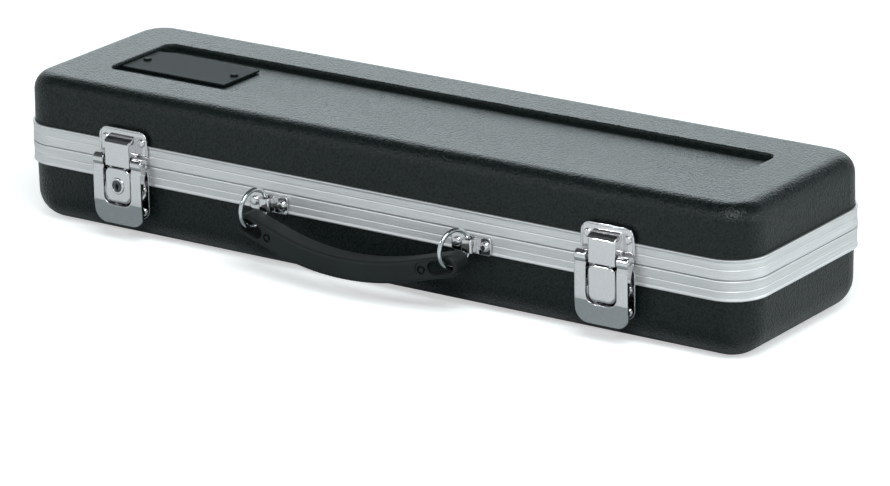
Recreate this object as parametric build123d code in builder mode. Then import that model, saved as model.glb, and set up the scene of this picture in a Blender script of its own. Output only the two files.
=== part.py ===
"""Hard flute case: two moulded shells with aluminium valances, latches, hinges and a carrying handle.

Frame, in millimetres: +X along the case to the right, +Y to the hinged back, +Z up.
The origin is the middle of the case's footprint, on the surface that it stands on.
"""

import os
from math import asin, cos, degrees, radians, sin

from build123d import *

# ------------------------------------------------------------------ case, over the valances
case_length = 440.0
case_width = 118.5
case_height = 78.1
parting_height = 42.0  # the plane where lid and base meet
parting_gap = 0.4
corner_radius = 20.0  # plan corners of the valances
fit_gap = 0.05  # between pieces fixed to each other
running_gap = 0.06  # radial clearance of a shaft or pin that turns
soft_gap = 0.3  # between a lining and what is round it

# ------------------------------------------------------------------ moulded shells
wall = 3.0
draft_angle = 1.0
lid_inset = 1.2  # lid face behind the valance face
base_inset = 1.7
lid_edge_radius = 9.6
base_edge_radius = 15.5
recess_length = 370.0
recess_width = 52.0
recess_depth = 3.0
recess_corner_radius = 5.0
recess_edge_radius = 1.2

# ------------------------------------------------------------------ valance extrusions
valance_height = 10.1
web_height = 3.2  # solid part under the channel that holds the shell's rim
leg_height = 6.2
leg_thickness = 0.9
tongue_height = 1.5
tongue_thickness = 1.0
tongue_inset = 2.2
tongue_gap = 0.4
lip_rise = 0.35
lip_width = 0.5
flank_step = 0.1  # lips and beads stand this far inside the overall size
groove_depth = 0.2
groove_width = 0.8
bead_width = 1.5

# ------------------------------------------------------------------ linings
leg_gap = 0.1  # between the shell's inside and the valance's inner leg
base_lining_top = 2.0  # below the parting plane
lid_lining_rim = 12.0
lid_lining_ceiling = 8.0
body_channel_length = 362.0
body_channel_radius = 17.0
body_channel_y = 24.5
head_channel_length = 226.0
head_channel_radius = 14.5
foot_channel_length = 152.0
foot_channel_radius = 16.5
front_channel_y = -26.5
front_channel_gap = 9.0  # rib between the head-joint and foot-joint channels
channel_depth = 1.65  # these three are shares of a channel's radius
channel_end_radius = 0.6
channel_foot_radius = 0.55

# ------------------------------------------------------------------ latches
latch_offsets = {"left": -149.6, "right": 143.1}
locking_side = "left"
plate_thickness = 0.8
plate_width = 30.2
plate_corner_radius = 5.5
keeper_top = 17.8  # above the parting plane
keeper_bottom = 0.5
keeper_stand_off = 0.1
keeper_notch_radius = 4.1  # round the tops of the lever's arms
hood_width = 15.7
hood_edge_radius = 1.2
hood_face = 7.2  # front face of hood and housing, out from the valance
hood_top = 11.7
hood_slope_top = 14.9
hood_roof = 1.5  # height of the sheet on the slope
hood_bevel_depth = 1.4
hood_bevel_height = 1.2
hood_bottom = -0.8
sheet = 0.7  # wall of hood and housing
rim_width = 1.0
rim_rise = 0.5
ledge_width = 9.0
ledge_reach = 1.6
ledge_height = 6.8
ledge_thickness = 1.2
plate_bottom = -28.7
housing_top = -1.4
housing_bottom = -20.2
housing_corner_radius = 4.0

# ------------------------------------------------------------------ lever, shaft and hook
lever_width = 30.2
lever_window = 17.7
lever_face = 7.4
lever_sheet = 1.4
lever_shoulder = -3.4  # the arms lean back above this
lever_arm_top = 1.0
lever_lean = 1.6
lever_neck_depth = 2.0  # the arm's back under the eye, from the pivot
lever_neck_drop = 2.6
lever_neck_foot = 1.0
lever_bottom = -31.8
lever_window_bottom = -21.5
lever_bend = -20.0
lever_tuck = 1.1  # how far the bottom edge leans back
lever_cheek_end = -13.0
lever_corner_radius = 7.0
pivot_out = 4.3
pivot_rise = 1.3  # above the parting plane
pivot_eye_radius = 3.3
cheek_thickness = 1.4  # of the latch body, inside the hood
cheek_radius = 2.1
cheek_bottom = -8.0
shaft_slot_gap = 0.35  # round the shaft in the hood's sides
shaft_radius = 1.1
crank_throw = 1.2
crank_angle = 40.0  # from straight down towards the front
crank_pin_radius = 0.7
crank_disc_radius = 2.0
crank_disc_thickness = 1.0
hook_width = 5.0
hook_thickness = 1.2
hook_top = 9.7
hook_nose_gap = 0.3
hook_ledge_gap = 0.2
hook_shoulder = 0.6
yoke_reach = 0.4  # the yoke's jaws beyond the crank pin's middle
yoke_gap = 0.15

# ------------------------------------------------------------------ lock
lock_drop = 11.0  # below the parting plane
plug_radius = 3.0
plug_length = 3.6
bezel_radius = 4.4
bezel_rise = 0.5
bezel_bevel = 0.3
keyhole_radius = 1.1
keyhole_slot = 0.9
keyhole_length = 3.4
keyhole_depth = 1.5
cam_length = 4.6
cam_width = 2.4
cam_thickness = 1.0

# ------------------------------------------------------------------ rivets and screws
rivet_head_radius = 2.2
rivet_head_height = 1.0
rivet_head_bevel = 0.6
rivet_shank_radius = 1.4
keeper_rivet_x = 11.4
keeper_rivet_height = 11.8
plate_rivet_heights = (-24.6, -13.2)
screw_head_radius = 2.6
screw_head_height = 1.7
screw_dome_radius = 1.45
screw_shank_radius = 1.3
screw_shank_length = 4.0

# ------------------------------------------------------------------ handle, rings and saddles
handle_x = 0.3  # middle of the handle
saddle_offsets = {"left": -58.4, "right": 64.0}
saddle_drop = 6.0  # below the parting plane
saddle_length = 23.0
saddle_height = 9.0
saddle_corner_radius = 1.5
saddle_foot = 1.1
saddle_screw_x = 8.2
bridge_width = 6.8
bridge_height = 6.6
bridge_wall = 1.1
bridge_edge_radius = 1.6
ring_radius = 9.6  # to the middle of the wire
ring_wire = 1.15
ring_out = 2.5  # wire's middle at the saddle, out from the valance
ring_turn = {"left": -6.0, "right": -15.0}  # swing from square to the front
tunnel_gap = 0.5
handle_height = 11.2
handle_thickness = 10.8
handle_face = 22.6  # front of the grip, out from the valance
handle_drop = 24.0  # middle of the grip, below the parting plane
handle_wall = 2.4  # behind its face the handle is hollow
handle_flange = 1.5
face_radius = 450.0  # seen from above, the handle bows away from the case
bow_radius = 160.0  # seen from the front, it bows down
bow_half_length = 40.0  # beyond this the ends run straight
handle_straight = 26.6
handle_corner_radius = 4.5
handle_edge_radius = 1.8
panel_start = 3.6  # sunk panel round the slot, from the end of the bow
panel_length = 22.0
panel_height = 9.0
panel_depth = 0.5
slot_start = 10.4
slot_length = 14.4
slot_height = 7.2
eye_from_bow = 6.9  # round recess beside the slot
eye_radius = 2.3
eye_depth = 1.2
eye_pin_radius = 1.2

# ------------------------------------------------------------------ hinges
hinge_offsets = {"left": -130.0, "right": 130.0}
hinge_length = 42.0
hinge_knuckles = 5
knuckle_radius = 2.5
knuckle_gap = 0.2
knuckle_standoff = 0.1  # from the valance's back face
hinge_pin_radius = 1.2
leaf_thickness = 1.2
leaf_height = 9.6
leaf_rivet_x = 14.0
leaf_rivet_drop = 5.9
leaf_rivet_grip = 0.9  # depth of the shank in the valance

# ------------------------------------------------------------------ badge plate, left bare
badge_length = 66.0
badge_width = 31.0
badge_thickness = 1.0
badge_standoff = 0.5
badge_end_gap = 0.5
badge_corner_radius = 0.8
badge_rivet_inset = 5.0

front = -case_width / 2
back = case_width / 2
lid_rim = parting_height + parting_gap / 2
base_rim = parting_height - parting_gap / 2
pivot_y = front - pivot_out
pivot_z = parting_height + pivot_rise

os.makedirs("parts", exist_ok=True)


def save(part, name):
    """Label a finished piece and write its STEP file."""
    part.label = name
    export_step(part, f"parts/{name}.step")


def moulded_block(rim_plane, inset, height, edge_radius):
    """Round-cornered block that narrows away from its rim and is rounded at its far edge."""
    with BuildPart() as block:
        with BuildSketch(rim_plane):
            RectangleRounded(
                case_length - 2 * inset,
                case_width - 2 * inset,
                corner_radius - inset,
            )
        extrude(amount=height, taper=draft_angle)
        far_face = block.faces().sort_by(Axis.Z, reverse=rim_plane.z_dir.Z < 0)[-1]
        fillet(far_face.edges(), edge_radius)
    return block.part


def facing_down(height):
    """Plane whose normal points down, for a shell that is drawn from its rim."""
    return Plane(origin=(0, 0, height), x_dir=(1, 0, 0), z_dir=(0, 0, -1))


def front_plane(x, out=0.0):
    """Plane on the valance's front: local x to the right, local y up from the parting plane."""
    return Plane(origin=(x, front - out, parting_height), x_dir=(1, 0, 0), z_dir=(0, -1, 0))


def side_plane(x):
    """Plane across the case: local x out from the valance's front, local y up."""
    return Plane(origin=(x, front, parting_height), x_dir=(0, -1, 0), z_dir=(-1, 0, 0))


# ------------------------------------------------------------------ shells
shell_rim = web_height + fit_gap
lid_shell_rim = lid_rim + shell_rim
base_shell_rim = base_rim - shell_rim
lid_height = case_height - lid_shell_rim
recess_floor = case_height - recess_depth

lid_outside = moulded_block(Plane.XY.offset(lid_shell_rim), lid_inset, lid_height, lid_edge_radius)
lid_inside = moulded_block(
    Plane.XY.offset(lid_shell_rim), lid_inset + wall, lid_height - wall, lid_edge_radius - wall
)
base_outside = moulded_block(facing_down(base_shell_rim), base_inset, base_shell_rim, base_edge_radius)
base_inside = moulded_block(
    facing_down(base_shell_rim), base_inset + wall, base_shell_rim - wall, base_edge_radius - wall
)

badge_x = -recess_length / 2 + badge_end_gap + badge_length / 2
badge_rivet_x = badge_length / 2 - badge_rivet_inset
keeper_rivet_holes = [
    (x + side * keeper_rivet_x, keeper_rivet_height) for x in latch_offsets.values() for side in (-1, 1)
]
plate_rivet_holes = [
    (x + side * keeper_rivet_x, height)
    for x in latch_offsets.values()
    for side in (-1, 1)
    for height in plate_rivet_heights
]
saddle_screw_holes = [
    (x + end * saddle_screw_x, -saddle_drop) for x in saddle_offsets.values() for end in (-1, 1)
]

with BuildPart() as lid_shell:
    add(lid_outside)
    add(lid_inside, mode=Mode.SUBTRACT)
    # the panel pressed into the top keeps the wall's thickness, so it stands down inside too
    with BuildSketch(Plane.XY.offset(recess_floor - wall)):
        RectangleRounded(recess_length + 2 * wall, recess_width + 2 * wall, recess_corner_radius + wall)
    extrude(amount=wall)
    with BuildSketch(Plane.XY.offset(recess_floor)):
        RectangleRounded(recess_length, recess_width, recess_corner_radius)
    extrude(amount=recess_depth, mode=Mode.SUBTRACT)
    recess_mouth = lid_shell.faces().sort_by(Axis.Z)[-1].inner_wires()[0]
    fillet(recess_mouth.edges(), recess_edge_radius)
    with Locations((badge_x, 0, recess_floor)):
        with Locations((-badge_rivet_x, 0, 0), (badge_rivet_x, 0, 0)):
            Hole(rivet_shank_radius + fit_gap, depth=2 * wall)
    with BuildSketch(front_plane(0)):
        with Locations(*keeper_rivet_holes):
            Circle(rivet_shank_radius + fit_gap)
    extrude(amount=-(lid_inset + 2 * wall), mode=Mode.SUBTRACT)
save(lid_shell.part, "lid_shell")

with BuildPart() as base_shell:
    add(base_outside)
    add(base_inside, mode=Mode.SUBTRACT)
    with BuildSketch(front_plane(0)):
        with Locations(*plate_rivet_holes):
            Circle(rivet_shank_radius + fit_gap)
    extrude(amount=-(base_inset + 2 * wall), mode=Mode.SUBTRACT)
    with BuildSketch(front_plane(0)):
        with Locations(*saddle_screw_holes):
            Circle(screw_shank_radius + fit_gap)
    extrude(amount=-(screw_shank_length + fit_gap), mode=Mode.SUBTRACT)
save(base_shell.part, "base_shell")


# ------------------------------------------------------------------ valances
def valance(rim_height, up, inset, with_tongue):
    """Extruded strip bent round the case; its channel holds the shell's rim.

    Profile: local x points out of the case, local y away from the parting plane.
    The base strip carries a tongue that stands in a groove of the lid strip.
    """
    skin_back = -(inset - fit_gap)
    leg_front = -(inset + wall + leg_gap)
    leg_back = leg_front - leg_thickness
    middle = valance_height / 2
    straight_x = case_length / 2 - corner_radius
    straight_y = case_width / 2 - corner_radius
    with BuildPart() as strip:
        with BuildLine(Plane.XY.offset(rim_height)) as path:
            first = Line((0, front), (straight_x, front))
            turn = JernArc(first @ 1, first % 1, corner_radius, 90)
            for corner in range(3):
                length = 2 * (straight_y if corner % 2 == 0 else straight_x)
                side = Line(turn @ 1, turn @ 1 + (turn % 1) * length)
                turn = JernArc(side @ 1, side % 1, corner_radius, 90)
            Line(turn @ 1, first @ 0)
        with BuildSketch(Plane(origin=(0, front, rim_height), x_dir=(0, -1, 0), z_dir=(-up, 0, 0))):
            with BuildLine():
                Polyline(
                    (-lip_rise, 0),
                    (-flank_step, lip_width),
                    (-lip_rise, middle - groove_width / 2),
                    (-lip_rise - groove_depth, middle),
                    (-lip_rise, middle + groove_width / 2),
                    (-lip_rise, valance_height - bead_width),
                    (0, valance_height - lip_width),
                    (-flank_step, valance_height),
                    (skin_back, valance_height),
                    (skin_back, web_height),
                    (leg_front, web_height),
                    (leg_front, leg_height),
                    (leg_back, leg_height),
                    (leg_back, 0),
                    close=True,
                )
            make_face()
            if with_tongue:
                with Locations((-tongue_inset - tongue_thickness / 2, 0)):
                    Rectangle(tongue_thickness, 2 * tongue_height)
            else:
                with Locations((-tongue_inset - tongue_thickness / 2, 0)):
                    Rectangle(
                        tongue_thickness + 2 * tongue_gap,
                        2 * (tongue_height + parting_gap / 2),
                        mode=Mode.SUBTRACT,
                    )
        sweep(path=path.wires()[0])
    return strip.part


def leaf_rivet_holes(up):
    """Places of the hinge rivets on the back face, from the parting plane."""
    return [
        (-(x + end * leaf_rivet_x), up * leaf_rivet_drop)
        for x in hinge_offsets.values()
        for end in (-1, 1)
    ]


back_plane = Plane(origin=(0, back, parting_height), x_dir=(-1, 0, 0), z_dir=(0, 1, 0))
lid_strip = valance(lid_rim, 1, lid_inset, with_tongue=False)
with BuildPart() as lid_valance:
    add(lid_strip)
    with BuildSketch(back_plane):
        with Locations(*leaf_rivet_holes(1)):
            Circle(rivet_shank_radius + fit_gap)
    extrude(amount=-(leaf_rivet_grip + fit_gap), mode=Mode.SUBTRACT)
save(lid_valance.part, "lid_valance")

base_strip = valance(base_rim, -1, base_inset, with_tongue=True)
with BuildPart() as base_valance:
    add(base_strip)
    with BuildSketch(back_plane):
        with Locations(*leaf_rivet_holes(-1)):
            Circle(rivet_shank_radius + fit_gap)
    extrude(amount=-(leaf_rivet_grip + fit_gap), mode=Mode.SUBTRACT)
    with BuildSketch(front_plane(0)):
        with Locations(*saddle_screw_holes):
            Circle(screw_shank_radius + fit_gap)
    extrude(amount=-(screw_shank_length + fit_gap), mode=Mode.SUBTRACT)
save(base_valance.part, "base_valance")

# ------------------------------------------------------------------ linings
base_lining_inset = base_inset + wall + leg_gap + leg_thickness + soft_gap
lid_lining_inset = lid_inset + wall + leg_gap + leg_thickness + soft_gap
base_lining_height = parting_height - base_lining_top
base_floor = wall + soft_gap
lid_ceiling = recess_floor - wall - soft_gap

base_lining_block = moulded_block(
    facing_down(base_lining_height),
    base_lining_inset,
    base_lining_height - base_floor,
    base_edge_radius - wall,
)
front_row_length = head_channel_length + front_channel_gap + foot_channel_length
head_channel_x = -front_row_length / 2 + head_channel_length / 2
foot_channel_x = front_row_length / 2 - foot_channel_length / 2


def channel(x, y, length, radius):
    """Round-bottomed trough with rounded ends, open at the lining's top."""
    with BuildPart() as trough:
        with BuildSketch(Plane.XY.offset(base_lining_height)):
            with Locations((x, y)):
                RectangleRounded(length, 2 * radius, channel_end_radius * radius)
        extrude(amount=-channel_depth * radius)
        fillet(trough.faces().sort_by(Axis.Z)[0].edges(), channel_foot_radius * radius)
    return trough.part


channels = [
    channel(0, body_channel_y, body_channel_length, body_channel_radius),
    channel(head_channel_x, front_channel_y, head_channel_length, head_channel_radius),
    channel(foot_channel_x, front_channel_y, foot_channel_length, foot_channel_radius),
]
with BuildPart() as base_lining:
    add(base_lining_block)
    for trough in channels:
        add(trough, mode=Mode.SUBTRACT)
save(base_lining.part, "base_lining")

lid_lining_block = moulded_block(
    Plane.XY.offset(lid_rim),
    lid_lining_inset,
    lid_ceiling - lid_rim,
    lid_edge_radius - wall,
)
with BuildPart() as lid_lining:
    add(lid_lining_block)
    with BuildSketch(Plane.XY.offset(lid_rim)):
        RectangleRounded(
            case_length - 2 * (lid_lining_inset + lid_lining_rim),
            case_width - 2 * (lid_lining_inset + lid_lining_rim),
            corner_radius / 2,
        )
    extrude(amount=lid_ceiling - lid_lining_ceiling - lid_rim, mode=Mode.SUBTRACT)
save(lid_lining.part, "lid_lining")

# ------------------------------------------------------------------ badge plate and its rivets
with BuildPart() as badge_plate:
    with BuildSketch(Plane.XY.offset(recess_floor + badge_standoff)):
        with Locations((badge_x, 0)):
            RectangleRounded(badge_length, badge_width, badge_corner_radius)
            with Locations((-badge_rivet_x, 0), (badge_rivet_x, 0)):
                Circle(rivet_shank_radius + fit_gap, mode=Mode.SUBTRACT)
    extrude(amount=badge_thickness)
save(badge_plate.part, "badge_plate")


def rivet(head_plane, shank_length):
    """Rivet whose head sits on the plane and whose shank goes down through it."""
    with BuildPart() as fastener:
        with BuildSketch(head_plane):
            Circle(rivet_head_radius)
        extrude(amount=rivet_head_height)
        head_top = fastener.faces().sort_by(Axis(head_plane.origin, head_plane.z_dir))[-1]
        chamfer(head_top.edges(), rivet_head_bevel)
        with BuildSketch(head_plane):
            Circle(rivet_shank_radius)
        extrude(amount=-shank_length)
    return fastener.part


badge_top = recess_floor + badge_standoff + badge_thickness
with BuildPart() as badge_rivets:
    for x in (badge_x - badge_rivet_x, badge_x + badge_rivet_x):
        add(rivet(Plane(origin=(x, 0, badge_top)), badge_top - recess_floor + wall))
save(badge_rivets.part, "badge_rivets")

# ------------------------------------------------------------------ latch keepers, on the lid
arm_middle = (lever_width + lever_window) / 4


def hood_outside(x):
    """Solid hood with a sloping top and rounded front edges."""
    with BuildPart() as hood:
        with BuildSketch(side_plane(x - hood_width / 2)):
            with BuildLine():
                Polyline(
                    (0, hood_bottom),
                    (hood_face, hood_bottom),
                    (hood_face, hood_top),
                    (hood_face - hood_bevel_depth, hood_top + hood_bevel_height),
                    (0, hood_slope_top),
                    close=True,
                )
            make_face()
        extrude(amount=-hood_width)
        fillet(hood.edges().filter_by(Axis.Z).group_by(Axis.Y)[0], hood_edge_radius)
    return hood.part


for side, x in latch_offsets.items():
    with BuildPart() as keeper:
        with BuildSketch(front_plane(x)) as keeper_outline:
            with Locations((0, (keeper_top + keeper_bottom) / 2)):
                Rectangle(plate_width, keeper_top - keeper_bottom)
            fillet(keeper_outline.vertices().group_by(Axis.Z)[-1], plate_corner_radius)
        extrude(amount=plate_thickness)
        # rolled rim round the top and the sides
        with BuildSketch(front_plane(x, plate_thickness)) as keeper_rim:
            with Locations((0, (keeper_top + keeper_bottom) / 2)):
                Rectangle(plate_width, keeper_top - keeper_bottom)
            fillet(keeper_rim.vertices().group_by(Axis.Z)[-1], plate_corner_radius)
            with Locations((0, (keeper_top + keeper_bottom) / 2 - rim_width)):
                Rectangle(plate_width - 2 * rim_width, keeper_top - keeper_bottom, mode=Mode.SUBTRACT)
        extrude(amount=rim_rise)
        # round notches for the tops of the lever's arms
        with BuildSketch(front_plane(x)):
            with Locations((-arm_middle, pivot_rise), (arm_middle, pivot_rise)):
                Circle(keeper_notch_radius)
        extrude(amount=plate_thickness + rim_rise, mode=Mode.SUBTRACT)
        # hood over the hook, open at the bottom
        add(hood_outside(x))
        with BuildSketch(side_plane(x - hood_width / 2 + sheet)):
            with BuildLine():
                Polyline(
                    (plate_thickness, hood_bottom - sheet),
                    (hood_face - sheet, hood_bottom - sheet),
                    (hood_face - sheet, hood_top - sheet),
                    (plate_thickness, hood_slope_top - hood_roof),
                    close=True,
                )
            make_face()
        extrude(amount=-(hood_width - 2 * sheet), mode=Mode.SUBTRACT)
        # the hood's sides are slotted from below for the lever's shaft
        with BuildSketch(side_plane(x - hood_width)):
            with Locations((pivot_out, pivot_rise)):
                Circle(shaft_radius + shaft_slot_gap)
            with Locations((pivot_out, (pivot_rise + hood_bottom) / 2 - sheet)):
                Rectangle(2 * (shaft_radius + shaft_slot_gap), pivot_rise - hood_bottom + 2 * sheet)
        extrude(amount=-2 * hood_width, mode=Mode.SUBTRACT)
        # below the plate's own edge the hood stands off the latch body's plate
        with BuildSketch(front_plane(x)):
            with Locations((0, keeper_bottom - sheet)):
                Rectangle(hood_width, 2 * sheet)
        extrude(amount=plate_thickness + 2 * keeper_stand_off, mode=Mode.SUBTRACT)
        # ledge that the hook draws down on
        with BuildSketch(front_plane(x, plate_thickness)):
            with Locations((0, ledge_height + ledge_thickness / 2)):
                Rectangle(ledge_width, ledge_thickness)
        extrude(amount=ledge_reach)
        with BuildSketch(front_plane(x)):
            with Locations((-keeper_rivet_x, keeper_rivet_height), (keeper_rivet_x, keeper_rivet_height)):
                Circle(rivet_shank_radius + fit_gap)
        extrude(amount=plate_thickness, mode=Mode.SUBTRACT)
    save(keeper.part, f"keeper_{side}")

with BuildPart() as keeper_rivets:
    for x, height in keeper_rivet_holes:
        add(rivet(Plane(origin=(x, front - plate_thickness, parting_height + height), z_dir=(0, -1, 0)),
                  plate_thickness + lid_inset + wall))
save(keeper_rivets.part, "keeper_rivets")

# ------------------------------------------------------------------ latch bodies, on the base
disc_inner_x = hook_width / 2 + yoke_gap
disc_outer_x = disc_inner_x + crank_disc_thickness
cheek_middle = disc_outer_x + yoke_gap + cheek_thickness / 2


def housing_outside(x):
    """Solid housing under the hood, with rounded front edges and bottom corners."""
    with BuildPart() as housing:
        with BuildSketch(front_plane(x)) as outline:
            with Locations((0, (housing_top + housing_bottom) / 2)):
                Rectangle(hood_width, housing_top - housing_bottom)
            fillet(outline.vertices().group_by(Axis.Z)[0], housing_corner_radius)
        extrude(amount=hood_face)
        front_face = housing.faces().sort_by(Axis.Y)[0]
        fillet(front_face.edges().sort_by(Axis.Z)[:-1], hood_edge_radius)
    return housing.part


for side, x in latch_offsets.items():
    with BuildPart() as latch_body:
        plate_top = -keeper_bottom
        with BuildSketch(front_plane(x)) as plate_outline:
            with Locations((0, (plate_top + plate_bottom) / 2)):
                Rectangle(plate_width, plate_top - plate_bottom)
            fillet(plate_outline.vertices().group_by(Axis.Z)[0], plate_corner_radius)
        extrude(amount=plate_thickness)
        add(housing_outside(x))
        with BuildSketch(front_plane(x, plate_thickness)) as housing_hollow:
            with Locations((0, (housing_top + housing_bottom) / 2 + sheet)):
                Rectangle(hood_width - 2 * sheet, housing_top - housing_bottom)
            fillet(housing_hollow.vertices().group_by(Axis.Z)[0], housing_corner_radius - sheet)
        extrude(amount=hood_face - sheet - plate_thickness, mode=Mode.SUBTRACT)
        # two cheeks stand up inside the hood and carry the shaft
        for end in (-1, 1):
            with BuildSketch(side_plane(x + end * cheek_middle + cheek_thickness / 2)):
                with BuildLine():
                    Polyline(
                        (plate_thickness, cheek_bottom),
                        (pivot_out + cheek_radius, cheek_bottom),
                        (pivot_out + cheek_radius, pivot_rise),
                        (pivot_out - cheek_radius, pivot_rise),
                        (pivot_out - cheek_radius, plate_top),
                        (plate_thickness, plate_top),
                        close=True,
                    )
                make_face()
                with Locations((pivot_out, pivot_rise)):
                    Circle(cheek_radius)
            extrude(amount=cheek_thickness)
        with BuildSketch(side_plane(x - hood_width)):
            with Locations((pivot_out, pivot_rise)):
                Circle(shaft_radius + running_gap)
        extrude(amount=-2 * hood_width, mode=Mode.SUBTRACT)
        with BuildSketch(front_plane(x)):
            with Locations(*[(s * keeper_rivet_x, h) for s in (-1, 1) for h in plate_rivet_heights]):
                Circle(rivet_shank_radius + fit_gap)
        extrude(amount=plate_thickness, mode=Mode.SUBTRACT)
        if side == locking_side:
            with BuildSketch(front_plane(x, hood_face)):
                with Locations((0, -lock_drop)):
                    Circle(plug_radius + running_gap)
            extrude(amount=-2 * sheet, mode=Mode.SUBTRACT)
    save(latch_body.part, f"latch_body_{side}")

with BuildPart() as latch_rivets:
    for x, height in plate_rivet_holes:
        add(rivet(Plane(origin=(x, front - plate_thickness, parting_height + height), z_dir=(0, -1, 0)),
                  plate_thickness + base_inset + wall))
save(latch_rivets.part, "latch_rivets")

# ------------------------------------------------------------------ levers
window_gap = (lever_window - hood_width) / 2
for side, x in latch_offsets.items():
    with BuildPart() as lever:
        with BuildSketch(side_plane(x - lever_width / 2)):
            with BuildLine():
                Polyline(
                    (lever_face, lever_shoulder),
                    (lever_face - lever_lean, lever_arm_top),
                    (pivot_out, pivot_rise),
                    (pivot_out - lever_neck_depth, pivot_rise - lever_neck_drop),
                    (pivot_out - lever_neck_foot, lever_shoulder),
                    (lever_face - lever_sheet, lever_cheek_end),
                    (lever_face - lever_sheet, lever_bend),
                    (lever_face - lever_sheet - lever_tuck, lever_bottom),
                    (lever_face - lever_tuck, lever_bottom),
                    (lever_face, lever_bend),
                    close=True,
                )
            make_face()
            with Locations((pivot_out, pivot_rise)):
                Circle(pivot_eye_radius)
        extrude(amount=-lever_width)
        with BuildSketch(front_plane(x)) as lever_opening:
            with Locations((0, lever_window_bottom + lever_width / 2)):
                Rectangle(lever_window, lever_width)
            fillet(lever_opening.vertices().group_by(Axis.Z)[0], housing_corner_radius + window_gap)
        extrude(amount=2 * hood_face, mode=Mode.SUBTRACT)
        # round the plan corners at the bottom
        with BuildSketch(front_plane(x)) as lever_outline:
            with Locations((0, lever_bottom + lever_width)):
                Rectangle(lever_width, 2 * lever_width)
            fillet(lever_outline.vertices().group_by(Axis.Z)[0], lever_corner_radius)
        extrude(amount=2 * hood_face, mode=Mode.INTERSECT)
        with BuildSketch(side_plane(x - lever_width)):
            with Locations((pivot_out, pivot_rise)):
                Circle(shaft_radius + fit_gap / 2)
        extrude(amount=-2 * lever_width, mode=Mode.SUBTRACT)
    save(lever.part, f"lever_{side}")

# ------------------------------------------------------------------ lever shafts, each with a crank
crank_y = pivot_y - crank_throw * sin(radians(crank_angle))
crank_z = pivot_z - crank_throw * cos(radians(crank_angle))
for side, x in latch_offsets.items():
    with BuildPart() as shaft:
        for end in (-1, 1):
            with BuildSketch(Plane(origin=(x + end * disc_inner_x, pivot_y, pivot_z), z_dir=(end, 0, 0))):
                Circle(crank_disc_radius)
            extrude(amount=crank_disc_thickness)
            with BuildSketch(Plane(origin=(x + end * disc_outer_x, pivot_y, pivot_z), z_dir=(end, 0, 0))):
                Circle(shaft_radius)
            extrude(amount=lever_width / 2 - disc_outer_x)
        with BuildSketch(Plane(origin=(x - disc_inner_x, crank_y, crank_z), z_dir=(1, 0, 0))):
            Circle(crank_pin_radius)
        extrude(amount=2 * disc_inner_x)
    save(shaft.part, f"lever_shaft_{side}")

# ------------------------------------------------------------------ hooks, lifted by the cranks
crank_out = pivot_out + crank_throw * sin(radians(crank_angle))
crank_drop = crank_throw * cos(radians(crank_angle)) - pivot_rise
yoke_back = crank_out - crank_pin_radius - yoke_gap
hook_back = yoke_back - hook_thickness
nose_tip = plate_thickness + ledge_reach + hook_nose_gap
nose_bottom = ledge_height + ledge_thickness + hook_ledge_gap
yoke_front = crank_out + yoke_reach
yoke_floor = -crank_drop - crank_pin_radius - yoke_gap
yoke_roof = -crank_drop + crank_pin_radius + yoke_gap
for side, x in latch_offsets.items():
    with BuildPart() as hook:
        with BuildSketch(side_plane(x - hook_width / 2)):
            with BuildLine():
                Polyline(
                    (hook_back, yoke_floor - hook_thickness),
                    (yoke_front, yoke_floor - hook_thickness),
                    (yoke_front, yoke_floor),
                    (yoke_back, yoke_floor),
                    (yoke_back, yoke_roof),
                    (yoke_front, yoke_roof),
                    (yoke_front, yoke_roof + hook_thickness),
                    (yoke_back, yoke_roof + hook_thickness + hook_shoulder),
                    (yoke_back, hook_top),
                    (nose_tip, hook_top),
                    (nose_tip, nose_bottom),
                    (hook_back, nose_bottom),
                    close=True,
                )
            make_face()
        extrude(amount=-hook_width)
    save(hook.part, f"hook_{side}")

# ------------------------------------------------------------------ lock in one latch
lock_x = latch_offsets[locking_side]
with BuildPart() as lock_bezel:
    with BuildSketch(front_plane(lock_x, hood_face)):
        with Locations((0, -lock_drop)):
            Circle(bezel_radius)
            Circle(plug_radius + running_gap, mode=Mode.SUBTRACT)
    extrude(amount=bezel_rise)
    front_circles = lock_bezel.edges().filter_by(GeomType.CIRCLE).sort_by(Axis.Y)[0:2]
    chamfer(front_circles.sort_by(SortBy.RADIUS)[-1], bezel_bevel)
save(lock_bezel.part, "lock_bezel")

plug_front = hood_face + bezel_bevel
with BuildPart() as lock_plug:
    with BuildSketch(front_plane(lock_x, plug_front)):
        with Locations((0, -lock_drop)):
            Circle(plug_radius)
    extrude(amount=-plug_length)
    with BuildSketch(front_plane(lock_x, plug_front)):
        with Locations((0, -lock_drop)):
            Circle(keyhole_radius)
            with Locations((0, -keyhole_length / 2 + keyhole_radius)):
                Rectangle(keyhole_slot, keyhole_length)
    extrude(amount=-keyhole_depth, mode=Mode.SUBTRACT)
save(lock_plug.part, "lock_plug")

with BuildPart() as lock_cam:
    with BuildSketch(front_plane(lock_x, plug_front - plug_length)):
        with Locations((0, -lock_drop)):
            with Locations((-(cam_length - cam_width) / 2, 0)):
                SlotOverall(cam_length, cam_width)
    extrude(amount=-cam_thickness)
save(lock_cam.part, "lock_cam")

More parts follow.
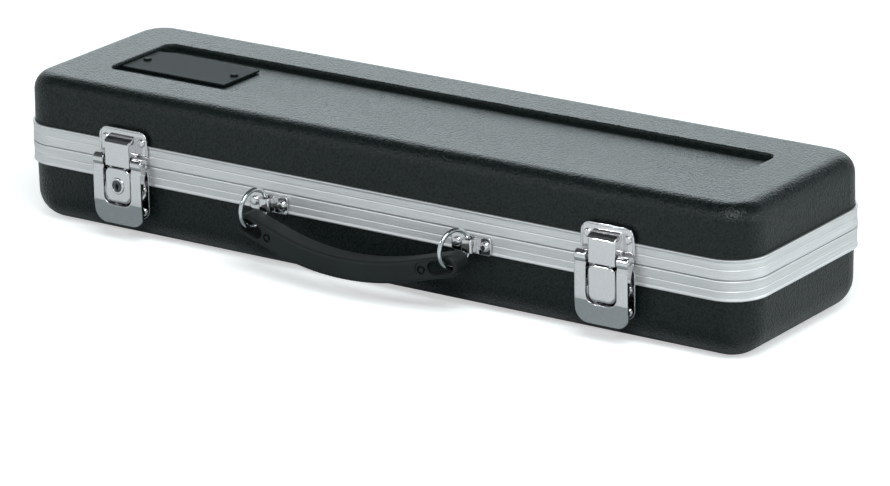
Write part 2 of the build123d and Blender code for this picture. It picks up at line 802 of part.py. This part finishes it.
# ------------------------------------------------------------------ saddles, rings and screws
ring_back = ring_out - ring_wire - tunnel_gap
ring_bulge = bridge_height**2 / (8 * ring_radius)  # of the ring's curve over the bridge's height
ring_front = ring_out + ring_wire + tunnel_gap + ring_bulge
tunnel_width = 2 * (ring_wire + tunnel_gap)
for side, x in saddle_offsets.items():
    with BuildPart() as saddle:
        with BuildSketch(front_plane(x)):
            with Locations((0, -saddle_drop)):
                RectangleRounded(saddle_length, saddle_height, saddle_corner_radius)
                with Locations((-saddle_screw_x, 0), (saddle_screw_x, 0)):
                    Circle(screw_shank_radius + fit_gap, mode=Mode.SUBTRACT)
        extrude(amount=saddle_foot)
        with BuildSketch(front_plane(x)):
            with Locations((0, -saddle_drop)):
                Rectangle(bridge_width, bridge_height)
        extrude(amount=ring_front + bridge_wall)
        bridge_edges = saddle.edges().filter_by(Axis.Z).sort_by(Axis.Y)[0:2]
        fillet(bridge_edges, bridge_edge_radius)
        tunnel_middle = (x, front - (ring_back + ring_front) / 2, parting_height - saddle_drop)
        with BuildSketch(Plane(origin=tunnel_middle)):
            Rectangle(tunnel_width, ring_front - ring_back)
        extrude(amount=saddle_height, both=True, mode=Mode.SUBTRACT)
    save(saddle.part, f"saddle_{side}")

with BuildPart() as saddle_screws:
    for x in saddle_offsets.values():
        for end in (-1, 1):
            seat = front_plane(x + end * saddle_screw_x, saddle_foot)
            with BuildSketch(seat):
                with Locations((0, -saddle_drop)):
                    Circle(screw_head_radius)
            extrude(amount=screw_head_height)
            with BuildSketch(seat):
                with Locations((0, -saddle_drop)):
                    Circle(screw_shank_radius)
            extrude(amount=-(saddle_foot + screw_shank_length))
    domes = saddle_screws.faces().filter_by(Axis.Y).group_by(Axis.Y)[0]
    fillet(domes.edges(), screw_dome_radius)
save(saddle_screws.part, "saddle_screws")

for side, x in saddle_offsets.items():
    turn = radians(ring_turn[side])
    centre_x = x + ring_radius * sin(turn)
    centre_y = front - ring_out - ring_radius * cos(turn)
    normal = (cos(turn), sin(turn), 0)
    with BuildPart() as ring:
        with Locations(Plane(origin=(centre_x, centre_y, parting_height - saddle_drop), z_dir=normal)):
            Torus(ring_radius, ring_wire)
    save(ring.part, f"ring_{side}")

# ------------------------------------------------------------------ handle
handle_plane = front_plane(handle_x)
face_centre = Plane(origin=(handle_x, front - handle_face + face_radius, 0))
bow_middle = (0, bow_radius - handle_drop)
bow_angle = degrees(asin(bow_half_length / bow_radius))
bow_line = CenterArc(bow_middle, bow_radius, -90 - bow_angle, 2 * bow_angle)
bow_end_height = bow_middle[1] - bow_radius * cos(radians(bow_angle))


def along_end(end, distance):
    """Place on a straight end of the handle, at a distance beyond the bow, turned in line with it."""
    x = end * (bow_half_length + distance * cos(radians(bow_angle)))
    return Location((x, bow_end_height + distance * sin(radians(bow_angle))), end * bow_angle)


def handle_form(edge_inset, face_inset):
    """Solid between the case and the handle's bowed face, drawn in by the two insets."""
    with BuildPart() as form:
        with BuildSketch(handle_plane):
            SlotArc(bow_line, handle_height - 2 * edge_inset)
            for end in (-1, 1):
                with Locations(along_end(end, (handle_straight - handle_corner_radius) / 2)):
                    RectangleRounded(
                        handle_straight + handle_corner_radius - 2 * edge_inset,
                        handle_height - 2 * edge_inset,
                        handle_corner_radius - edge_inset,
                    )
        extrude(amount=handle_face)
        with BuildSketch(face_centre):
            Circle(face_radius - face_inset)
        extrude(amount=case_height, mode=Mode.INTERSECT)
    return form.part


def end_prisms(start, length, height, depth):
    """Prisms over both ends of the handle that cut its face to a depth."""
    with BuildPart() as prisms:
        with BuildSketch(handle_plane):
            for end in (-1, 1):
                with Locations(along_end(end, start + length / 2)):
                    SlotOverall(length, height)
        extrude(amount=handle_face)
        with BuildSketch(face_centre):
            Circle(face_radius - depth)
        extrude(amount=case_height, mode=Mode.SUBTRACT)
    return prisms.part


handle_outside = handle_form(0, 0)
handle_inside = handle_form(handle_flange, handle_wall)
panels = end_prisms(panel_start, panel_length, panel_height, panel_depth)
slots = end_prisms(slot_start, slot_length, slot_height, handle_thickness)
with BuildPart() as eyes:
    with BuildSketch(handle_plane):
        for end in (-1, 1):
            with Locations(along_end(end, eye_from_bow)):
                Circle(eye_radius)
                Circle(eye_pin_radius, mode=Mode.SUBTRACT)
    extrude(amount=handle_face)
    with BuildSketch(face_centre):
        Circle(face_radius - panel_depth - eye_depth)
    extrude(amount=case_height, mode=Mode.SUBTRACT)

with BuildPart() as handle:
    add(handle_outside)
    face_edges = handle.faces().filter_by(GeomType.CYLINDER).sort_by(Axis.Y)[0].edges()
    fillet(face_edges, handle_edge_radius)
    with BuildSketch(face_centre):
        Circle(face_radius - handle_thickness)
    extrude(amount=case_height, mode=Mode.SUBTRACT)
    add(handle_inside, mode=Mode.SUBTRACT)
    add(panels, mode=Mode.SUBTRACT)
    add(slots, mode=Mode.SUBTRACT)
    add(eyes.part, mode=Mode.SUBTRACT)
save(handle.part, "handle")

# ------------------------------------------------------------------ hinges at the back
hinge_y = back + knuckle_radius + knuckle_standoff
knuckle_length = hinge_length / hinge_knuckles


def hinge_leaf(x, up, knuckles):
    """Leaf on the valance's back face, with its share of the knuckles round the pin."""
    leaf_plane = Plane(origin=(x, back, parting_height), x_dir=(-1, 0, 0), z_dir=(0, 1, 0))
    plate_start = knuckle_radius + knuckle_gap
    with BuildPart() as leaf:
        with BuildSketch(leaf_plane):
            with Locations((0, up * (plate_start + leaf_height) / 2)):
                Rectangle(hinge_length, leaf_height - plate_start)
            with Locations((-leaf_rivet_x, up * leaf_rivet_drop), (leaf_rivet_x, up * leaf_rivet_drop)):
                Circle(rivet_shank_radius + fit_gap, mode=Mode.SUBTRACT)
        extrude(amount=leaf_thickness)
        for index in knuckles:
            start = -hinge_length / 2 + index * knuckle_length + knuckle_gap / 2
            length = knuckle_length - knuckle_gap
            with BuildSketch(leaf_plane):
                with Locations((-(start + length / 2), up * plate_start / 2)):
                    Rectangle(length, plate_start)
            extrude(amount=leaf_thickness)
            with BuildSketch(Plane(origin=(x + start, hinge_y, parting_height), z_dir=(1, 0, 0))):
                Circle(knuckle_radius)
            extrude(amount=length)
        with BuildSketch(Plane(origin=(x - hinge_length, hinge_y, parting_height), z_dir=(1, 0, 0))):
            Circle(hinge_pin_radius + running_gap)
        extrude(amount=2 * hinge_length, mode=Mode.SUBTRACT)
    return leaf.part


for side, x in hinge_offsets.items():
    save(hinge_leaf(x, -1, range(0, hinge_knuckles, 2)), f"hinge_base_leaf_{side}")
    save(hinge_leaf(x, 1, range(1, hinge_knuckles, 2)), f"hinge_lid_leaf_{side}")

with BuildPart() as hinge_pins:
    for x in hinge_offsets.values():
        with BuildSketch(Plane(origin=(x - hinge_length / 2, hinge_y, parting_height), z_dir=(1, 0, 0))):
            Circle(hinge_pin_radius)
        extrude(amount=hinge_length)
save(hinge_pins.part, "hinge_pins")

for name, up in (("hinge_lid_rivets", 1), ("hinge_base_rivets", -1)):
    with BuildPart() as hinge_rivets:
        for x in hinge_offsets.values():
            for end in (-1, 1):
                seat = (x + end * leaf_rivet_x, back + leaf_thickness, parting_height + up * leaf_rivet_drop)
                add(rivet(Plane(origin=seat, z_dir=(0, 1, 0)), leaf_thickness + leaf_rivet_grip))
    save(hinge_rivets.part, name)
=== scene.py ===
"""Looks of the flute case: pebbled ABS shells, brushed valances, plated latches, plush linings."""

import bpy
from mathutils import Matrix, Vector


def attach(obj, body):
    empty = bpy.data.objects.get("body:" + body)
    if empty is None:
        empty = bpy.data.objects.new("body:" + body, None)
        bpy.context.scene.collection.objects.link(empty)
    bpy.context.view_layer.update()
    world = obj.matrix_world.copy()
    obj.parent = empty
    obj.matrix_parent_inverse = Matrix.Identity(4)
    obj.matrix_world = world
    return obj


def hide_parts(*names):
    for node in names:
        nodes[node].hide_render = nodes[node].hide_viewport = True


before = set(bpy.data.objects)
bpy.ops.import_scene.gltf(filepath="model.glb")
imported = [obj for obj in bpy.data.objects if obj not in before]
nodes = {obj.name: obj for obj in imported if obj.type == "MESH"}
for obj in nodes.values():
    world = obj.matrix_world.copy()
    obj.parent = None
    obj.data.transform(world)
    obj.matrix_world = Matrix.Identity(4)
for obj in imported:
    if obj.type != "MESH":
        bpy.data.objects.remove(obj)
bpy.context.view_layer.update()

MM = 0.001


# ------------------------------------------------------------------ camera
def place_camera():
    """Long lens, a little above the case and to the right of its front."""
    lens = bpy.data.cameras.new("studio_lens")
    lens.sensor_fit = "HORIZONTAL"
    lens.sensor_width = 36.0
    lens.lens = 207.571
    lens.clip_end = 50.0
    camera = bpy.data.objects.new("studio_camera", lens)
    to_right = Vector((0.8234366, 0.56716677, -0.01655373))
    to_top = Vector((-0.16757848, 0.2709633, 0.94789047))
    to_back = Vector((0.54209743, -0.77775366, 0.31816604))
    turned = Matrix((to_right, to_top, to_back)).transposed().to_4x4()
    camera.matrix_world = Matrix.Translation((1.406811, -2.009063, 0.830956)) @ turned
    bpy.context.scene.collection.objects.link(camera)
    bpy.context.scene.camera = camera


place_camera()


# ------------------------------------------------------------------ node helpers
def linear(hex_colour):
    """An sRGB hex colour as linear RGBA."""
    channels = [int(hex_colour[i:i + 2], 16) / 255 for i in (1, 3, 5)]
    bent = [c / 12.92 if c <= 0.04045 else ((c + 0.055) / 1.055) ** 2.4 for c in channels]
    return (*bent, 1.0)


def add_node(tree, kind, inputs=(), **settings):
    """Add a node with its settings, and set or link its inputs: pairs of socket and value."""
    node = tree.nodes.new(kind)
    for name, value in settings.items():
        setattr(node, name, value)
    for socket, value in inputs:
        if isinstance(value, bpy.types.NodeSocket):
            tree.links.new(value, node.inputs[socket])
        else:
            node.inputs[socket].default_value = value
    return node


def new_material(name):
    """An empty node material, its shader, and coordinates in metres that follow the case."""
    material = bpy.data.materials.new(name)
    material.use_nodes = True
    tree = material.node_tree
    tree.nodes.clear()
    shader = add_node(tree, "ShaderNodeBsdfPrincipled")
    add_node(tree, "ShaderNodeOutputMaterial", [("Surface", shader.outputs["BSDF"])])
    place = add_node(tree, "ShaderNodeTexCoord").outputs["Object"]
    return material, tree, shader, place


def stretched(tree, place, along_x, along_y, along_z):
    """Coordinates whose unit is the given length in millimetres along each axis."""
    scale = tuple(1 / (length * MM) for length in (along_x, along_y, along_z))
    mapping = add_node(tree, "ShaderNodeMapping", [("Vector", place), ("Scale", scale)])
    return mapping.outputs["Vector"]


def ramp(tree, factor, *stops):
    """A colour ramp through stops of position and hex colour."""
    node = add_node(tree, "ShaderNodeValToRGB", [("Fac", factor)])
    elements = node.color_ramp.elements
    while len(elements) < len(stops):
        elements.new(0.5)
    for element, (position, colour) in zip(elements, stops):
        element.position = position
        element.color = linear(colour)
    return node.outputs["Color"]


def spread(tree, factor, low, high):
    """A factor of 0 to 1 spread between two values."""
    node = add_node(
        tree, "ShaderNodeMapRange", [("Value", factor), ("To Min", low), ("To Max", high)],
    )
    return node.outputs["Result"]


# ------------------------------------------------------------------ materials
def pebbled_abs():
    """Vacuum-formed ABS: black and satin, its sheen broken up by the mould's pebble grain."""
    material, tree, shader, place = new_material("pebbled_abs")
    pebbles = add_node(
        tree, "ShaderNodeTexVoronoi",
        [("Vector", stretched(tree, place, 1.15, 1.15, 1.15)), ("Scale", 1.0),
         ("Smoothness", 0.4)],
        feature="SMOOTH_F1",
    )
    creep = add_node(
        tree, "ShaderNodeTexNoise",
        [("Vector", stretched(tree, place, 1.4, 1.4, 1.4)), ("Scale", 1.0),
         ("Detail", 3.0), ("Roughness", 0.7)],
    )
    dents = add_node(
        tree, "ShaderNodeTexNoise",
        [("Vector", stretched(tree, place, 30, 30, 30)), ("Scale", 1.0), ("Detail", 1.0)],
    )
    grain = add_node(
        tree, "ShaderNodeMath",
        [(0, pebbles.outputs["Distance"]), (1, spread(tree, creep.outputs["Fac"], -0.6, 0.6))],
        operation="ADD",
    )
    soft_dents = add_node(
        tree, "ShaderNodeBump",
        [("Height", dents.outputs["Fac"]), ("Strength", 0.12), ("Distance", 1.2 * MM)],
    )
    bump = add_node(
        tree, "ShaderNodeBump",
        [("Height", grain.outputs[0]), ("Strength", 1.0), ("Distance", 0.24 * MM),
         ("Normal", soft_dents.outputs["Normal"])],
        invert=True,
    )
    colour = ramp(tree, grain.outputs[0], (0.0, "#0c1717"), (0.8, "#070e0e"))
    tree.links.new(colour, shader.inputs["Base Color"])
    tree.links.new(spread(tree, creep.outputs["Fac"], 0.5, 0.16), shader.inputs["Roughness"])
    tree.links.new(bump.outputs["Normal"], shader.inputs["Normal"])
    tree.links.new(spread(tree, grain.outputs[0], 0.4, 0.22), shader.inputs["Specular IOR Level"])
    shader.inputs["IOR"].default_value = 1.5
    return material


def brushed_aluminium():
    """Anodised aluminium extrusion: pale satin metal, brushed in fine lines along its length."""
    material, tree, shader, place = new_material("brushed_aluminium")
    lines = add_node(
        tree, "ShaderNodeTexNoise",
        [("Vector", stretched(tree, place, 60, 60, 0.22)), ("Scale", 1.0),
         ("Detail", 3.0), ("Roughness", 0.7)],
    )
    cloud = add_node(
        tree, "ShaderNodeTexNoise",
        [("Vector", stretched(tree, place, 45, 45, 6)), ("Scale", 1.0), ("Detail", 2.0)],
    )
    bump = add_node(
        tree, "ShaderNodeBump",
        [("Height", lines.outputs["Fac"]), ("Strength", 0.3), ("Distance", 0.02 * MM)],
    )
    colour = ramp(tree, lines.outputs["Fac"], (0.3, "#cecdce"), (0.7, "#f1f0f0"))
    tree.links.new(colour, shader.inputs["Base Color"])
    tree.links.new(spread(tree, cloud.outputs["Fac"], 0.5, 0.6), shader.inputs["Roughness"])
    tree.links.new(bump.outputs["Normal"], shader.inputs["Normal"])
    shader.inputs["Metallic"].default_value = 1.0
    return material


def plated(name, pale, deep, low, high, waviness, edge):
    """Plated steel pressing: bright, a little wavy from the press, with faint polishing haze."""
    material, tree, shader, place = new_material(name)
    waves = add_node(
        tree, "ShaderNodeTexNoise",
        [("Vector", stretched(tree, place, 5, 5, 5)), ("Scale", 1.0), ("Detail", 1.0)],
    )
    haze = add_node(
        tree, "ShaderNodeTexNoise",
        [("Vector", stretched(tree, place, 1.3, 1.3, 1.3)), ("Scale", 1.0),
         ("Detail", 4.0), ("Roughness", 0.65)],
    )
    edges = add_node(tree, "ShaderNodeBevel", [("Radius", edge * MM)], samples=6)
    bump = add_node(
        tree, "ShaderNodeBump",
        [("Height", waves.outputs["Fac"]), ("Strength", waviness), ("Distance", 0.25 * MM),
         ("Normal", edges.outputs["Normal"])],
    )
    colour = ramp(tree, haze.outputs["Fac"], (0.3, deep), (0.7, pale))
    tree.links.new(colour, shader.inputs["Base Color"])
    tree.links.new(spread(tree, haze.outputs["Fac"], low, high), shader.inputs["Roughness"])
    tree.links.new(bump.outputs["Normal"], shader.inputs["Normal"])
    shader.inputs["Metallic"].default_value = 1.0
    return material


def handle_polypropylene():
    """Moulded polypropylene: dull black, a fine spark-eroded texture and a waxy sheen."""
    material, tree, shader, place = new_material("handle_polypropylene")
    spark = add_node(
        tree, "ShaderNodeTexNoise",
        [("Vector", stretched(tree, place, 0.5, 0.5, 0.5)), ("Scale", 1.0),
         ("Detail", 3.0), ("Roughness", 0.6)],
    )
    flow = add_node(
        tree, "ShaderNodeTexNoise",
        [("Vector", stretched(tree, place, 22, 9, 9)), ("Scale", 1.0), ("Detail", 2.0)],
    )
    edges = add_node(tree, "ShaderNodeBevel", [("Radius", 0.5 * MM)], samples=6)
    bump = add_node(
        tree, "ShaderNodeBump",
        [("Height", spark.outputs["Fac"]), ("Strength", 0.35), ("Distance", 0.08 * MM),
         ("Normal", edges.outputs["Normal"])],
    )
    tree.links.new(ramp(tree, flow.outputs["Fac"], (0.3, "#0c1212"), (0.7, "#131a1a")),
                   shader.inputs["Base Color"])
    tree.links.new(spread(tree, flow.outputs["Fac"], 0.5, 0.62), shader.inputs["Roughness"])
    tree.links.new(bump.outputs["Normal"], shader.inputs["Normal"])
    shader.inputs["IOR"].default_value = 1.49
    shader.inputs["Specular IOR Level"].default_value = 0.35
    return material


def satin_plate():
    """Black plate of the badge, left bare: smooth satin lacquer with a faint orange peel."""
    material, tree, shader, place = new_material("satin_lacquer_plate")
    peel = add_node(
        tree, "ShaderNodeTexNoise",
        [("Vector", stretched(tree, place, 1.8, 1.8, 1.8)), ("Scale", 1.0), ("Detail", 2.0)],
    )
    edges = add_node(tree, "ShaderNodeBevel", [("Radius", 0.25 * MM)], samples=6)
    bump = add_node(
        tree, "ShaderNodeBump",
        [("Height", peel.outputs["Fac"]), ("Strength", 0.2), ("Distance", 0.05 * MM),
         ("Normal", edges.outputs["Normal"])],
    )
    tree.links.new(ramp(tree, peel.outputs["Fac"], (0.35, "#151b1b"), (0.65, "#1b2121")),
                   shader.inputs["Base Color"])
    tree.links.new(spread(tree, peel.outputs["Fac"], 0.55, 0.62), shader.inputs["Roughness"])
    tree.links.new(bump.outputs["Normal"], shader.inputs["Normal"])
    shader.inputs["IOR"].default_value = 1.5
    shader.inputs["Specular IOR Level"].default_value = 0.14
    return material


def black_lacquered_steel():
    """Black lacquered rivet heads: semi-gloss with tiny nicks from the setting tool."""
    material, tree, shader, place = new_material("black_lacquered_steel")
    nicks = add_node(
        tree, "ShaderNodeTexNoise",
        [("Vector", stretched(tree, place, 0.7, 0.7, 0.7)), ("Scale", 1.0),
         ("Detail", 4.0), ("Roughness", 0.7)],
    )
    tree.links.new(ramp(tree, nicks.outputs["Fac"], (0.35, "#0d0f10"), (0.75, "#1a1d1e")),
                   shader.inputs["Base Color"])
    tree.links.new(spread(tree, nicks.outputs["Fac"], 0.4, 0.6), shader.inputs["Roughness"])
    shader.inputs["IOR"].default_value = 1.5
    shader.inputs["Specular IOR Level"].default_value = 0.1
    return material


def plush():
    """Short nylon plush glued over foam: deep black, soft bluish sheen, brushed pile."""
    material, tree, shader, place = new_material("nylon_plush")
    pile = add_node(
        tree, "ShaderNodeTexNoise",
        [("Vector", stretched(tree, place, 0.45, 0.45, 0.45)), ("Scale", 1.0),
         ("Detail", 3.0), ("Roughness", 0.75)],
    )
    brushed = add_node(
        tree, "ShaderNodeTexNoise",
        [("Vector", stretched(tree, place, 18, 12, 14)), ("Scale", 1.0),
         ("Detail", 3.0), ("Distortion", 0.6)],
    )
    nap = add_node(
        tree, "ShaderNodeMath",
        [(0, pile.outputs["Fac"]), (1, brushed.outputs["Fac"])], operation="MULTIPLY",
    )
    bump = add_node(
        tree, "ShaderNodeBump",
        [("Height", pile.outputs["Fac"]), ("Strength", 0.8), ("Distance", 0.5 * MM)],
    )
    tree.links.new(ramp(tree, nap.outputs[0], (0.12, "#08090b"), (0.42, "#202329")),
                   shader.inputs["Base Color"])
    tree.links.new(bump.outputs["Normal"], shader.inputs["Normal"])
    shader.inputs["Roughness"].default_value = 0.95
    shader.inputs["Specular IOR Level"].default_value = 0.15
    shader.inputs["Sheen Weight"].default_value = 0.45
    shader.inputs["Sheen Roughness"].default_value = 0.4
    shader.inputs["Sheen Tint"].default_value = linear("#8a8f9c")
    return material


shell_finish = pebbled_abs()
valance_finish = brushed_aluminium()
chrome_finish = plated("nickel_chrome_plate", "#e3e1e2", "#d8d6d8", 0.05, 0.11, 0.22, 0.7)
zinc_finish = plated("zinc_plated_steel", "#a9acae", "#8c9092", 0.3, 0.45, 0.3, 0.2)
plug_finish = plated("oiled_zinc_alloy", "#6a6e70", "#4c5052", 0.3, 0.45, 0.2, 0.15)
wire_finish = plated("nickel_plated_wire", "#dfe2e3", "#c9cdcf", 0.1, 0.2, 0.15, 0.2)
handle_finish = handle_polypropylene()
badge_finish = satin_plate()
badge_rivet_finish = black_lacquered_steel()
plush_finish = plush()

finishes = {
    "base_shell": shell_finish,
    "lid_shell": shell_finish,
    "base_valance": valance_finish,
    "lid_valance": valance_finish,
    "handle": handle_finish,
    "badge_plate": badge_finish,
    "badge_rivets": badge_rivet_finish,
    "ring_left": wire_finish,
    "ring_right": wire_finish,
    "hook_left": zinc_finish,
    "hook_right": zinc_finish,
    "lever_shaft_left": zinc_finish,
    "lever_shaft_right": zinc_finish,
    "lock_cam": zinc_finish,
    "lock_plug": plug_finish,
    "hinge_pins": zinc_finish,
}
for name, node in nodes.items():
    finish = finishes.get(name, chrome_finish)
    node.data.materials.clear()
    node.data.materials.append(finish)


# ------------------------------------------------------------------ plush linings
def soft_lining(node_name, body):
    """The lining as glued plush over foam: its edges sink round and its faces swell a little."""
    skin_pitch = 2.2 * MM
    swell_width = 30 * MM
    swell_depth = 0.7 * MM
    mesh = nodes[node_name].data.copy()
    lining = bpy.data.objects.new(f"{node_name}_plush", mesh)
    bpy.context.scene.collection.objects.link(lining)
    mesh.materials.clear()
    mesh.materials.append(plush_finish)
    remesh = lining.modifiers.new("even_skin", "REMESH")
    remesh.mode = "VOXEL"
    remesh.voxel_size = skin_pitch
    relax = lining.modifiers.new("soft_edges", "SMOOTH")
    relax.factor = 0.5
    relax.iterations = 6
    clouds = bpy.data.textures.new(f"{node_name}_swell", "CLOUDS")
    clouds.noise_scale = swell_width
    swell = lining.modifiers.new("swell", "DISPLACE")
    swell.texture = clouds
    swell.texture_coords = "LOCAL"
    swell.strength = swell_depth
    swell.mid_level = 1.0
    bpy.context.view_layer.update()
    evaluated = lining.evaluated_get(bpy.context.evaluated_depsgraph_get())
    lining.data = bpy.data.meshes.new_from_object(evaluated)
    lining.modifiers.clear()
    for polygon in lining.data.polygons:
        polygon.use_smooth = True
    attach(lining, body)
    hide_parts(node_name)


soft_lining("base_lining", "base")
soft_lining("lid_lining", "lid")


# ------------------------------------------------------------------ studio
def white_to_eye(tree, plain, white):
    """Shader that is white to the camera and plain to every other ray."""
    seen = add_node(tree, "ShaderNodeLightPath")
    return add_node(
        tree, "ShaderNodeMixShader",
        [(0, seen.outputs["Is Camera Ray"]), (1, plain.outputs[0]), (2, white.outputs[0])],
    )


def pale_floor():
    """Pale sweep under the case, which keeps the case's shadow and otherwise looks white.

    Painted shade: a strip of it close to the front is painted grey for glossy rays only; the
    plating mirrors it, so the feet of the levers go grey.
    """
    half = 12.0
    shade_middle = -86 * MM
    shade_reach = 31 * MM
    shade_blur = 8 * MM
    shade_half_length = 215 * MM
    mesh = bpy.data.meshes.new("studio_floor")
    corners = [(-half, -half, 0), (half, -half, 0), (half, half, 0), (-half, half, 0)]
    mesh.from_pydata(corners, [], [(0, 1, 2, 3)])
    floor = bpy.data.objects.new("studio_floor", mesh)
    bpy.context.scene.collection.objects.link(floor)
    material = bpy.data.materials.new("matt_paper")
    material.use_nodes = True
    tree = material.node_tree
    tree.nodes.clear()
    spot = add_node(
        tree, "ShaderNodeSeparateXYZ",
        [("Vector", add_node(tree, "ShaderNodeNewGeometry").outputs["Position"])],
    )
    across = add_node(
        tree, "ShaderNodeMath", [(0, spot.outputs["Y"]), (1, shade_middle)], operation="SUBTRACT",
    )
    off_middle = add_node(tree, "ShaderNodeMath", [(0, across.outputs[0])], operation="ABSOLUTE")
    in_strip = add_node(
        tree, "ShaderNodeMapRange",
        [("Value", off_middle.outputs[0]), ("From Min", shade_reach - shade_blur),
         ("From Max", shade_reach + shade_blur), ("To Min", 1.0), ("To Max", 0.0)],
        interpolation_type="SMOOTHSTEP",
    )
    along = add_node(tree, "ShaderNodeMath", [(0, spot.outputs["X"])], operation="ABSOLUTE")
    before_case = add_node(
        tree, "ShaderNodeMath", [(0, along.outputs[0]), (1, shade_half_length)],
        operation="LESS_THAN",
    )
    strip = add_node(
        tree, "ShaderNodeMath", [(0, in_strip.outputs["Result"]), (1, before_case.outputs[0])],
        operation="MULTIPLY",
    )
    seen = add_node(tree, "ShaderNodeLightPath")
    painted_shade_mask = add_node(
        tree, "ShaderNodeMath", [(0, strip.outputs[0]), (1, seen.outputs["Is Glossy Ray"])],
        operation="MULTIPLY",
    )
    # Painted shade: inside the strip the paper turns grey, but only where the plating mirrors it.
    paper = add_node(
        tree, "ShaderNodeBsdfDiffuse",
        [("Color", ramp(tree, painted_shade_mask.outputs[0], (0.0, "#f0f2f2"), (1.0, "#a2a9ab")))],
    )
    glow = add_node(tree, "ShaderNodeEmission", [("Strength", 0.5)])
    both = add_node(tree, "ShaderNodeAddShader", [(0, paper.outputs[0]), (1, glow.outputs[0])])
    mix = white_to_eye(tree, paper, both)
    add_node(tree, "ShaderNodeOutputMaterial", [("Surface", mix.outputs[0])])
    mesh.materials.append(material)


def softbox(name, place, aim, width, height, power, tint):
    """Area lamp turned towards a point."""
    lamp = bpy.data.lights.new(name, "AREA")
    lamp.shape = "RECTANGLE"
    lamp.size = width
    lamp.size_y = height
    lamp.energy = power
    lamp.color = linear(tint)[:3]
    box = bpy.data.objects.new(name, lamp)
    box.location = place
    box.rotation_euler = (Vector(aim) - Vector(place)).to_track_quat("-Z", "Y").to_euler()
    bpy.context.scene.collection.objects.link(box)


def studio_world():
    """White room with bright walls and a dim ceiling, which gives the plating its contrast."""
    wall_light, ceiling_light = 0.8, 0.1
    wall_top, ceiling_edge = 0.26, 0.55
    world = bpy.data.worlds.new("studio_room")
    bpy.context.scene.world = world
    world.use_nodes = True
    tree = world.node_tree
    tree.nodes.clear()
    way = add_node(tree, "ShaderNodeTexCoord").outputs["Generated"]
    height = add_node(tree, "ShaderNodeSeparateXYZ", [("Vector", way)]).outputs["Z"]
    brightness = add_node(
        tree, "ShaderNodeMapRange",
        [("Value", height), ("From Min", wall_top), ("From Max", ceiling_edge),
         ("To Min", wall_light), ("To Max", ceiling_light)],
        interpolation_type="SMOOTHSTEP",
    )
    room = add_node(
        tree, "ShaderNodeBackground",
        [("Color", linear("#eef6f9")), ("Strength", brightness.outputs["Result"])],
    )
    white = add_node(tree, "ShaderNodeBackground", [("Color", (1, 1, 1, 1))])
    mix = white_to_eye(tree, room, white)
    add_node(tree, "ShaderNodeOutputWorld", [("Surface", mix.outputs[0])])


pale_floor()
studio_world()
softbox("back_softbox", (-1.5, 2.4, 1.0), (0, 0, 0.05), 2.6, 1.2, 28, "#eaf8fb")
softbox("top_softbox", (0.8, -0.9, 1.5), (0, 0, 0.0), 1.2, 0.9, 25, "#f4fbfc")
softbox("end_softbox", (2.4, 0.9, 0.7), (0.2, 0, 0.05), 1.0, 0.8, 15, "#eefafd")
softbox("edge_lamp", (-0.62, -1.1, 0.86), (0.2, -0.06, 0.07), 0.05, 0.05, 3, "#f4fbfc")

scene = bpy.context.scene
scene.view_settings.view_transform = "Standard"
